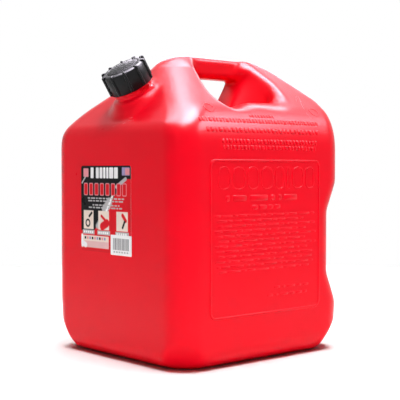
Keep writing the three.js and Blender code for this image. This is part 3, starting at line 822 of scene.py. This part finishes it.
# Each row is its start and end, its climb and height, the widths of its blocks, the gap and the rise.
outlined_row = (-83, 78, 204.5, 27, (18.5, 19.5, 17.5, 20, 14.5, 6, 19, 15), 4.3, block_proud)
block_rows = [
    (-71, 69, 191.2, 7, (6, 22, 30, 7), 5, block_proud),
    (-29, 28, 181, 5.4, (9, 12, 8), 3, block_proud),
]
block_rows += [
    (-88 + row % 3 * 3, 82 - row % 2 * 6, 173.6 - row * 5.8, 2.4, small_widths[row % 4:], 2.4, faint_proud)
    for row in range(12)
]
block_rows += [(8 - row * 12, 76, 86 - row * 9, 3, (10, 6, 14, 8), 3, faint_proud) for row in range(2)]
block_rows += [
    (-76, 86, 251, 4.8, (3.6, 4.6, 2.6, 5.2, 4), 1.7, block_proud),
    (-76, 86, 258, 5.2, (4, 3.4, 5, 2.4, 4.4), 1.7, block_proud),
    (-97, 95, 271, 6.2, (4.6, 5.4, 3.4, 5.8, 4.8), 1.7, block_proud),
    (-104, 98, 283.4, 5.8, (3, 4, 2.4, 5, 3.4), 1.7, block_proud),
    (-22, 20, 291.6, 4.4, (3, 3.6, 2.6), 1.7, block_proud),
]


def rounded_ring(box, radius, proud, width=stroke, corner_steps=8, edge_steps=1, full=False):
    """Loops of a raised line round a rounded box, or of the whole box raised."""
    low_a, low_b, high_a, high_b = box
    edge_in = proud * edge_inset
    edge_up = proud * edge_rise
    section = (
        (0, -sunk), (0, edge_up), (edge_in, proud),
        (width - edge_in, proud), (width, edge_up), (width, -sunk),
    )
    long_edge = 4 * radius * math.pi / 2 / corner_steps
    loops = []
    for inset, height in section[:3] if full else section:
        corner = max(radius - inset, least_corner)
        loop = []
        for turn, (a, b) in enumerate(((high_a, high_b), (low_a, high_b), (low_a, low_b), (high_a, low_b))):
            centre_a = a + math.copysign(radius, (low_a + high_a) / 2 - a)
            centre_b = b + math.copysign(radius, (low_b + high_b) / 2 - b)
            for step in range(corner_steps + 1):
                angle = (turn + step / corner_steps) * math.pi / 2
                spot_a = centre_a + corner * math.cos(angle)
                spot_b = centre_b + corner * math.sin(angle)
                loop.append(np.array((spot_a, spot_b, height)))
        spread = []
        for first, second in zip(loop, loop[1:] + loop[:1]):
            parts = edge_steps if math.dist(first, second) > long_edge else 1
            spread += [first + (second - first) * k / parts for k in range(parts)]
        loops.append(spread)
    return loops


def skin_loops(shapes):
    """Points and faces of raised shapes. A shape of three loops is a whole block, closed on top."""
    points = []
    faces = []
    for loops in shapes:
        around = len(loops[0])
        start = len(points)
        for loop in loops:
            points += loop
        for level in range(len(loops) - 1):
            low = start + level * around
            faces += strip(low, low + around, around)
        if len(loops) == 3:
            faces.append(range(start + 2 * around, start + 3 * around))
    return np.array(points), faces


def along_row(start, end, widths, gaps, first=0):
    """The start and width of each mark in a row, with widths and gaps that recur."""
    place = start
    k = first
    while place < end:
        width = widths[k % len(widths)]
        yield place, width
        place += width + gaps[k % len(gaps)]
        k += 1


def word_row(start, end, climb, height, widths, gap, proud, outlined=False):
    """A row of plain raised blocks where the real can has small raised print."""
    shapes = []
    for place, width in along_row(start, end, widths, (gap,)):
        if place + width > end:
            break
        box = (place, climb, place + width, climb + height)
        radius = min(width, height) * (outline_round if outlined else block_round)
        shapes.append(rounded_ring(box, radius, proud, corner_steps=3, edge_steps=2, full=not outlined))
    return shapes


block_shapes = word_row(*outlined_row, outlined=True)
for block_row in block_rows:
    block_shapes += word_row(*block_row)
for along, climb in emblem_places:
    emblem_box = (
        along - emblem_radius, climb - emblem_radius,
        along + emblem_radius, climb + emblem_radius,
    )
    block_shapes.append(rounded_ring(emblem_box, emblem_radius - emblem_flat, block_proud))
border_shapes = [rounded_ring(border_box, border_corner, border_proud, border_width, edge_steps=40)]
for side, side_name in ((1, "right"), (-1, "left")):
    for name, shapes in (("side_border_", border_shapes), ("side_blocks_", block_shapes)):
        points, faces = skin_loops(shapes)
        detail = mesh_piece(name + side_name, onto_side(points, side) * mm, faces)
        face_outward(detail)
        smooth(detail, 50)
        red_detail(detail)


# Wear on the roof: a forked scratch with short nicks beside it on the right, and fine ones on the
# front. A scratch shows pale, so each one is a thin pale ridge on the skin.
scratch_proud = 0.2
side_scratches = (
    (0.5, ((101, 342), (96, 331), (91, 324), (86, 313), (84, 302), (87, 293))),
    (0.3, ((97, 341), (93, 334))),
    (0.3, ((100, 333), (95, 328))),
    (0.3, ((94, 340), (89, 331))),
    (0.3, ((96, 324), (92, 319))),
    (0.25, ((90, 335), (86, 328))),
    (0.3, ((93, 317), (86, 313))),
)
front_scratches = (
    (0.3, ((-0.5, 279.5), (1.5, 291.5))),
    (0.2, ((20, 292), (27, 293))),
    (0.2, ((22, 288), (33, 288.5))),
    (0.2, ((14, 284), (19, 284.5))),
)
scratch_end = 0.2
scratch_color = (0.95, 0.5, 0.55, 1)
dull_scratch_color = (0.85, 0.36, 0.42, 1)
scratched_plastic = plastic(
    "scratched_plastic", scratch_color, dull_scratch_color, 0.5, (700, 0.0001), specular=0.2
)


def scratch_ridges(scratches):
    """Low ridges along the scratches, three points across, running out at both ends."""
    points = []
    faces = []
    for half, path in scratches:
        path = np.array(path, float)
        across = np.gradient(path, axis=0)[:, ::-1] * (-1, 1)
        across /= np.linalg.norm(across, axis=1)[:, None]
        for k, (place, side_step) in enumerate(zip(path, across)):
            reach = half * (scratch_end if k in (0, len(path) - 1) else 1)
            start = len(points)
            for share, height in ((-1, -sunk), (0, scratch_proud), (1, -sunk)):
                points.append((*(place + side_step * reach * share), height))
            if k:
                faces.append((start - 3, start - 2, start + 1, start))
                faces.append((start - 2, start - 1, start + 2, start + 1))
    return np.array(points), faces


side_points, side_faces = scratch_ridges(side_scratches)
front_points, front_faces = scratch_ridges(front_scratches)
for name, points, faces in (
    ("side_scratches", onto_side(side_points, 1), side_faces),
    ("front_scratches", onto_front(front_points), front_faces),
):
    marks = mesh_piece(name, points * mm, faces)
    marks.data.materials.append(scratched_plastic)
    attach(marks, "can")


# The collar is moulded in black polypropylene, ribbed for the fingers and threaded inside. Each rib
# ends in a small nub that stands above the rim. The collar clamps the disc and the spout on the lip.
collar_bore = 25.9
collar_outer = 27.6
collar_low = -14.6
collar_top = 11.2
collar_roof = 8.2
collar_opening = 20.5
collar_chamfer = 2.6
rib_radius = 1.9
rib_count = 10
rib_turn = math.radians(33)
nub_size = (4.5, 3.0, 2.6)
nub_proud = 0.9
nub_edge = 0.7
thread_play = 0.7
thread_sunk = 0.8
rib_edge = 0.45
foot_edge = (0.4, 0.6)
shoulder_edge = (0.5, 1.2)
rim_edge = 0.3
rim_inset = 0.8
spin_steps = 120
weld_reach = 1e-6
black_color = (0.006, 0.0065, 0.007, 1)
deep_black_color = (0.003, 0.0035, 0.004, 1)

black_plastic = plastic("black_plastic", black_color, deep_black_color, 0.3, (1400, 0.00006), specular=0.17)


def spun(name, profile):
    """A closed profile of radius and height, spun about the neck's axis."""
    count = len(profile)
    points = [(radius * mm, 0, height * mm) for radius, height in profile]
    piece = mesh_piece(name, points, edges=[(k, (k + 1) % count) for k in range(count)])
    only(piece)
    bpy.ops.object.mode_set(mode="EDIT")
    bpy.ops.mesh.select_all(action="SELECT")
    bpy.ops.mesh.spin(steps=spin_steps, angle=2 * math.pi, center=(0, 0, 0), axis=(0, 0, 1))
    bpy.ops.mesh.select_all(action="SELECT")
    bpy.ops.mesh.remove_doubles(threshold=weld_reach)
    bpy.ops.mesh.delete_loose()
    bpy.ops.object.mode_set(mode="OBJECT")
    face_outward(piece)
    return piece


collar_shoulder = collar_top - collar_chamfer
collar_rim = collar_outer - collar_chamfer
collar = spun("collar", (
    (collar_bore, collar_low), (collar_outer - foot_edge[0], collar_low),
    (collar_outer, collar_low + foot_edge[1]), (collar_outer, collar_shoulder),
    (collar_outer - shoulder_edge[0], collar_shoulder + shoulder_edge[1]),
    (collar_rim + rim_edge, collar_top - rim_edge), (collar_rim - rim_inset, collar_top),
    (collar_opening + rim_edge, collar_top), (collar_opening, collar_top - rim_edge),
    (collar_opening, collar_roof), (collar_bore, collar_roof),
))
rib_height = collar_top - collar_low - collar_chamfer / 2
rib_middle = collar_low + collar_chamfer / 2 + rib_height / 2
nub_out = collar_outer + rib_radius - nub_proud - nub_size[0] / 2
nub_height = collar_top - collar_chamfer / 2 + nub_proud
for place in range(rib_count):
    turn = rib_turn + place / rib_count * 2 * math.pi
    bpy.ops.object.select_all(action="DESELECT")
    bpy.ops.mesh.primitive_cylinder_add(vertices=24, radius=rib_radius * mm, depth=rib_height * mm)
    rib = bpy.context.object
    bevel(rib, rib_edge, 3, 60)
    set_out(rib, collar_outer, rib_middle, turn)
    nub = soft_block(nub_size, nub_edge, 4)
    set_out(nub, nub_out, nub_height, turn)
    combine(collar, rib, "UNION")
    combine(collar, nub, "UNION")
collar.data.transform(neck_frame)
smooth(collar, 35)
inner_crest = neck_radius + thread_play
inner_top = thread_top - thread_pitch / 2
collar_thread = thread("collar_thread", collar_bore, inner_crest, inner_top, thread_sunk)
for piece in (collar, collar_thread):
    paint(piece, black_plastic)
    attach(piece, "collar")
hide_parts("screw_collar")

# The disc closes the neck while the spout is stored. It is a black moulding, slightly domed, with a
# coarser grain on its top, and the collar's rim holds it down.
disc_radius = 19.9
disc_flange = 25.1
disc_low = 5.8
disc_flange_top = 7.9
disc_dome = 2.2
disc_plate = 2.4
dome_steps = 14
dome_skirt = 0.3
disc_color = (0.008, 0.009, 0.0095, 1)

dome_edge = disc_flange_top + collar_top - collar_roof
dome = [
    (disc_radius * math.cos(angle), dome_edge + disc_dome * math.sin(angle))
    for angle in np.linspace(0, math.pi / 2, dome_steps)
]
disc = spun("disc", (
    (0, dome_edge + disc_dome - disc_plate), (disc_radius - disc_plate, dome_edge - disc_plate),
    (disc_radius - disc_plate, disc_low), (disc_flange, disc_low), (disc_flange, disc_flange_top),
    (disc_radius, disc_flange_top), (disc_radius, dome_edge - dome_skirt), *dome[1:],
))
disc.data.transform(neck_frame)
smooth(disc, 35)
disc_plastic = plastic("disc_plastic", disc_color, deep_black_color, 0.26, (520, 0.0006), specular=0.04)
paint(disc, disc_plastic)
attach(disc, "disc")
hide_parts("closure_disc")

# The front label and the sticker over its corner are printed films. Their print is plain shapes:
# blocks, bars and panels, with grey and white diagonal streaks laid over it. Its colours are kept with the
# mesh, in a colour attribute.
print_step = 0.5
label_corner = 3.0
sticker_corner = 1.0
print_edge = 0.3
ink_black = (0.005, 0.005, 0.006)
ink_red = (0.72, 0.012, 0.02)
ink_white = (0.95, 0.95, 0.96)
ink_cream = (0.88, 0.75, 0.66)
ink_grey = (0.5, 0.49, 0.5)
ink_pink = (0.78, 0.3, 0.34)
ink_violet = (0.34, 0.3, 0.52)
ink_rose = (0.8, 0.5, 0.5)
ink_bar = (0.09, 0.09, 0.1)
label_split = ((0.907, 0.131), (0.34, 0.687))
split_sharpness = 60
fade_noise = (90, 3)
fade_range = (0.92, 1.04)
top_blocks = (
    (0.2, 0.262), (0.31, 0.37), (0.385, 0.445), (0.46, 0.505),
    (0.52, 0.565), (0.58, 0.66), (0.675, 0.75),
)
big_block_pitch = 0.111
big_block_width = 0.082
big_block_rim = 0.009
line_rows = ((0.14, 0.87, 0.37), (0.15, 0.85, 0.4), (0.24, 0.78, 0.448), (0.16, 0.83, 0.478))
line_widths = (0.05, 0.085, 0.035, 0.065)
line_gaps = (0.018,)
line_height = 0.015
panels = ((0.053, 0.257), (0.357, 0.573), (0.72, 0.94))
bar_widths = (0.012, 0.028, 0.018, 0.036, 0.014)
bar_gaps = (0.016, 0.024, 0.014)


class Print:
    """The ink on a film. Places are shares of its width and height from its top left corner."""

    def __init__(self, places, shape, ground):
        self.shape = shape
        self.spots = places * shape
        self.ink = np.zeros(places.shape[:2] + (3,)) + ground

    def lay(self, outside, color, edge=print_edge):
        """Prints over what is there, by how far each spot lies outside a shape in millimetres."""
        cover = np.clip(0.5 - outside / (2 * edge), 0, 1)[..., None]
        self.ink = self.ink * (1 - cover) + np.array(color) * cover

    def block(self, box, corner, color, edge=print_edge):
        low, high = np.reshape(box, (2, 2)) * self.shape
        away = np.abs(self.spots - (low + high) / 2) - (high - low) / 2 + corner
        past = np.linalg.norm(np.maximum(away, 0), axis=-1)
        self.lay(past + np.minimum(away.max(-1), 0) - corner, color, edge)

    def off_line(self, start, end):
        """How far each spot lies from a straight line, in millimetres."""
        first = start * self.shape
        along = end * self.shape - first
        share = np.clip(((self.spots - first) @ along) / (along @ along), 0, 1)
        return np.linalg.norm(self.spots - first - share[..., None] * along, axis=-1)

    def stroke(self, start, end, half, color, edge=print_edge):
        self.lay(self.off_line(start, end) - half, color, edge)


def film(name, node_name, corner, ink_at):
    """A thin film where a node's film lies, with its print as a colour attribute."""
    low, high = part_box(node_name)
    shape = np.array((high[0] - low[0], high[2] - low[2])) / mm
    lines = (np.linspace(0, 1, round(size / print_step) + 1) for size in shape)
    places = np.stack(np.meshgrid(*lines, indexing="ij"), -1)
    inner = np.clip(places * shape, corner, shape - corner)
    off = places * shape - inner
    far = np.linalg.norm(off, axis=-1)
    pull = np.where(far > 0, np.abs(off).max(-1) / np.maximum(far, tiny), 1)
    across, down = np.moveaxis((inner + off * pull[..., None]) * mm, -1, 0)
    across = low[0] + across
    ink = ink_at(places, shape).reshape(-1, 3)
    front = np.stack([across.ravel(), np.full(across.size, low[1]), (high[2] - down).ravel()], 1)
    number = np.arange(across.size).reshape(across.shape)
    corners = (number[:-1, :-1], number[:-1, 1:], number[1:, 1:], number[1:, :-1])
    quads = np.stack(corners, -1).reshape(-1, 4)
    rim = np.concatenate([number[:, 0], number[-1, 1:], number[-2::-1, -1], number[0, -2:0:-1]])
    back = front[rim] + (0, high[1] - low[1], 0)
    back_number = len(front) + np.arange(len(rim))
    sides = np.stack([rim, np.roll(rim, -1), np.roll(back_number, -1), back_number], 1)
    faces = quads.tolist() + sides.tolist() + [back_number[::-1].tolist()]
    piece = mesh_piece(name, np.concatenate([front, back]), faces)
    face_outward(piece)
    colors = piece.data.color_attributes.new("print", "FLOAT_COLOR", "POINT")
    values = np.ones((len(front) + len(back), 4))
    values[:len(front), :3] = ink
    values[len(front):, :3] = ink_white
    colors.data.foreach_set("color", values.ravel())
    return piece


def label_ink(places, shape):
    paper = Print(places, shape, ink_black)
    block = paper.block
    stroke = paper.stroke
    start, end = np.array(label_split)
    across, down = np.moveaxis(places - start, -1, 0)
    right = across * (end[1] - start[1]) - down * (end[0] - start[0])
    paper.lay(-right * split_sharpness, ink_red)
    block((-0.1, 0.76, 1.1, 1.1), 0, ink_red)
    block((-0.1, -0.1, 1.1, 0.15), 0, ink_black)
    # Grey and white diagonal streaks across the middle of the film, laid into its colours.
    stroke((0.9, 0.15), (0.72, 0.24), 2.2, ink_grey)
    stroke((0.6, 0.43), (0.34, 0.7), 3.2, ink_grey, 1.2)
    stroke((0.58, 0.41), (0.48, 0.5), 4.6, ink_grey, 1.0)
    stroke((0.64, 0.35), (0.52, 0.52), 1.6, ink_white, 1.0)
    stroke((0.02, 0.2), (0.1, 0.12), 1.0, ink_grey)
    block((0.05, 0.03, 0.155, 0.13), 1, ink_pink)
    for left, end in top_blocks:
        block((left, 0.02, end, 0.145), 1.2, ink_white)
    block((0.83, 0.02, 0.975, 0.11), 0.6, ink_violet)
    block((0.89, 0.03, 0.975, 0.105), 0.4, ink_pink)
    for k in range(8):
        left = 0.058 + k * big_block_pitch
        end = left + big_block_width
        block((left, 0.2, end, 0.345), 1.8, ink_pink)
        rim = big_block_rim
        block((left + rim, 0.2 + rim, end - rim, 0.345 - rim), 1.2, ink_red)
    for row, (start, end, top) in enumerate(line_rows):
        for place, width in along_row(start, end, line_widths, line_gaps, row):
            block((place, top, min(place + width, end), top + line_height), 0.4, ink_grey)
    for left, end in panels:
        block((left, 0.522, end, 0.74), 0.5, ink_cream)
        block((left - 0.02, 0.75, end + 0.02, 0.8), 0.5, ink_grey)
        for k in range(5):
            mark = left + k * 0.042
            block((mark, 0.763, mark + 0.03, 0.787), 0.3, ink_white)
    ring = np.abs(paper.off_line((0.14, 0.67), (0.141, 0.67)) - 4.0) - 1.1
    paper.lay(ring, ink_black, 0.5)
    stroke((0.17, 0.59), (0.22, 0.55), 1.6, ink_black, 0.5)
    stroke((0.44, 0.7), (0.53, 0.66), 5.0, ink_red, 0.6)
    stroke((0.42, 0.58), (0.5, 0.63), 1.8, ink_red, 0.5)
    stroke((0.84, 0.56), (0.9, 0.62), 2.4, ink_red, 0.6)
    stroke((0.84, 0.7), (0.88, 0.63), 1.6, ink_black, 0.5)
    block((0.03, 0.815, 0.565, 0.955), 0.6, ink_cream)
    block((0.03, 0.88, 0.565, 0.955), 0.6, ink_rose)
    for k in range(9):
        mark = 0.07 + k * 0.05
        block((mark, 0.83, mark + 0.034, 0.86), 0.4, (ink_black, ink_pink, ink_violet)[k % 3])
    stroke((0.015, 0.9), (0.09, 0.93), 3.2, ink_white, 0.8)
    stroke((0.02, 0.82), (0.02, 0.94), 2.0, ink_white, 0.8)
    return paper.ink


def sticker_ink(places, shape):
    paper = Print(places, shape, ink_white)
    for place, width in along_row(0.12, 0.86, bar_widths, bar_gaps):
        paper.block((place, 0.16, place + width, 0.74), 0, ink_bar, 0.25)
    for k in range(6):
        left = 0.14 + k * 0.125
        paper.block((left, 0.8, left + 0.08, 0.88), 0.2, ink_grey)
    return paper.ink


def print_film(name, gloss):
    """The glossy surface of a film, in its printed colours, slightly uneven."""
    material = grained(name, gloss, (420, 0.00006), wave=0.0002, specular=0.05)
    tree = material.node_tree
    ink = node(tree, "ShaderNodeVertexColor", layer_name="print").outputs["Color"]
    fade = ranged(tree, noise(tree, *fade_noise), *fade_range)
    color_from(tree, mixed(tree, 1, ink, fade, blend_type="MULTIPLY"))
    return material


for name, node_name, corner, ink_at, gloss in (
    ("label", "front_label", label_corner, label_ink, 0.3),
    ("sticker", "barcode_sticker", sticker_corner, sticker_ink, 0.45),
):
    sheet = film(name, node_name, corner, ink_at)
    sheet.data.materials.append(print_film(name + "_print", gloss))
    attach(sheet, "can")
    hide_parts(node_name)

# The parts that the neck and the tank hide keep their solids: the stored spout with its sleeve, valve
# and vent, and the gaskets, each in its own plastic, rubber or steel.
fine_grain = (1500, 0.00003)
hidden_looks = (
    ("rubber", (0.03, 0.03, 0.03, 1), (0.02, 0.02, 0.02, 1), 0.7, (1200, 0.00005)),
    ("spout_plastic", (0.03, 0.03, 0.032, 1), (0.02, 0.02, 0.022, 1), 0.42, fine_grain),
    ("yellow_plastic", (0.82, 0.55, 0.03, 1), (0.74, 0.47, 0.02, 1), 0.36, fine_grain),
    ("natural_plastic", (0.74, 0.73, 0.7, 1), (0.66, 0.65, 0.62, 1), 0.4, fine_grain),
    ("steel", (0.6, 0.61, 0.62, 1), (0.5, 0.51, 0.52, 1), 0.3, (2500, 0.00002)),
)
hidden_finishes = {slot: plastic(slot, *look) for slot, *look in hidden_looks}
hidden_finishes["steel"].node_tree.nodes["Principled BSDF"].inputs["Metallic"].default_value = 1
for row in frame["record"]["subparts"]:
    finish = hidden_finishes.get(row["material_slot"])
    if finish:
        paint(frame["nodes"][row["node"]], finish)

# Sleeve spring. A coil of steel wire with closed end turns, loose on the spout tube between the
# tube's seat and the sleeve's nose. On the real spout it shortens as the sleeve slides back; here it has
# one length.
spring_radius = 13.0
wire_radius = 0.7
spring_span = (-149.0, -104.3)
spring_turns = 7
spring_turn_steps = 32
wire_sides = 10
closed_pitch = 1.6

turn_count = spring_turns * spring_turn_steps
turns_done = np.arange(turn_count + 1) / spring_turn_steps
wire_height = np.interp(
    turns_done,
    (0, 1, spring_turns - 1, spring_turns),
    (spring_span[0], spring_span[0] + closed_pitch, spring_span[1] - closed_pitch, spring_span[1]),
)
around_wire = np.arange(wire_sides) / wire_sides * 2 * math.pi
wire_out = spring_radius + wire_radius * np.cos(around_wire)
turned_by = turns_done[:, None] * 2 * math.pi
wire_points = np.stack([
    wire_out * np.cos(turned_by),
    wire_out * np.sin(turned_by),
    wire_height[:, None] + wire_radius * np.sin(around_wire),
], axis=2).reshape(-1, 3)
wire_faces = [
    (ring + k, ring + wire_sides + k, ring + wire_sides + (k + 1) % wire_sides, ring + (k + 1) % wire_sides)
    for ring in range(0, turn_count * wire_sides, wire_sides)
    for k in range(wire_sides)
]
last = len(wire_points) - 1
wire_faces += [range(wire_sides), range(last, last - wire_sides, -1)]
spring = mesh_piece("coil_spring", wire_points * mm, wire_faces)
smooth(spring, 45)
spring.data.transform(neck_frame)
spring.data.materials.append(hidden_finishes["steel"])
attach(spring, "spout")
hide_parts("sleeve_spring")
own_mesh(spring)

bpy.context.view_layer.update()
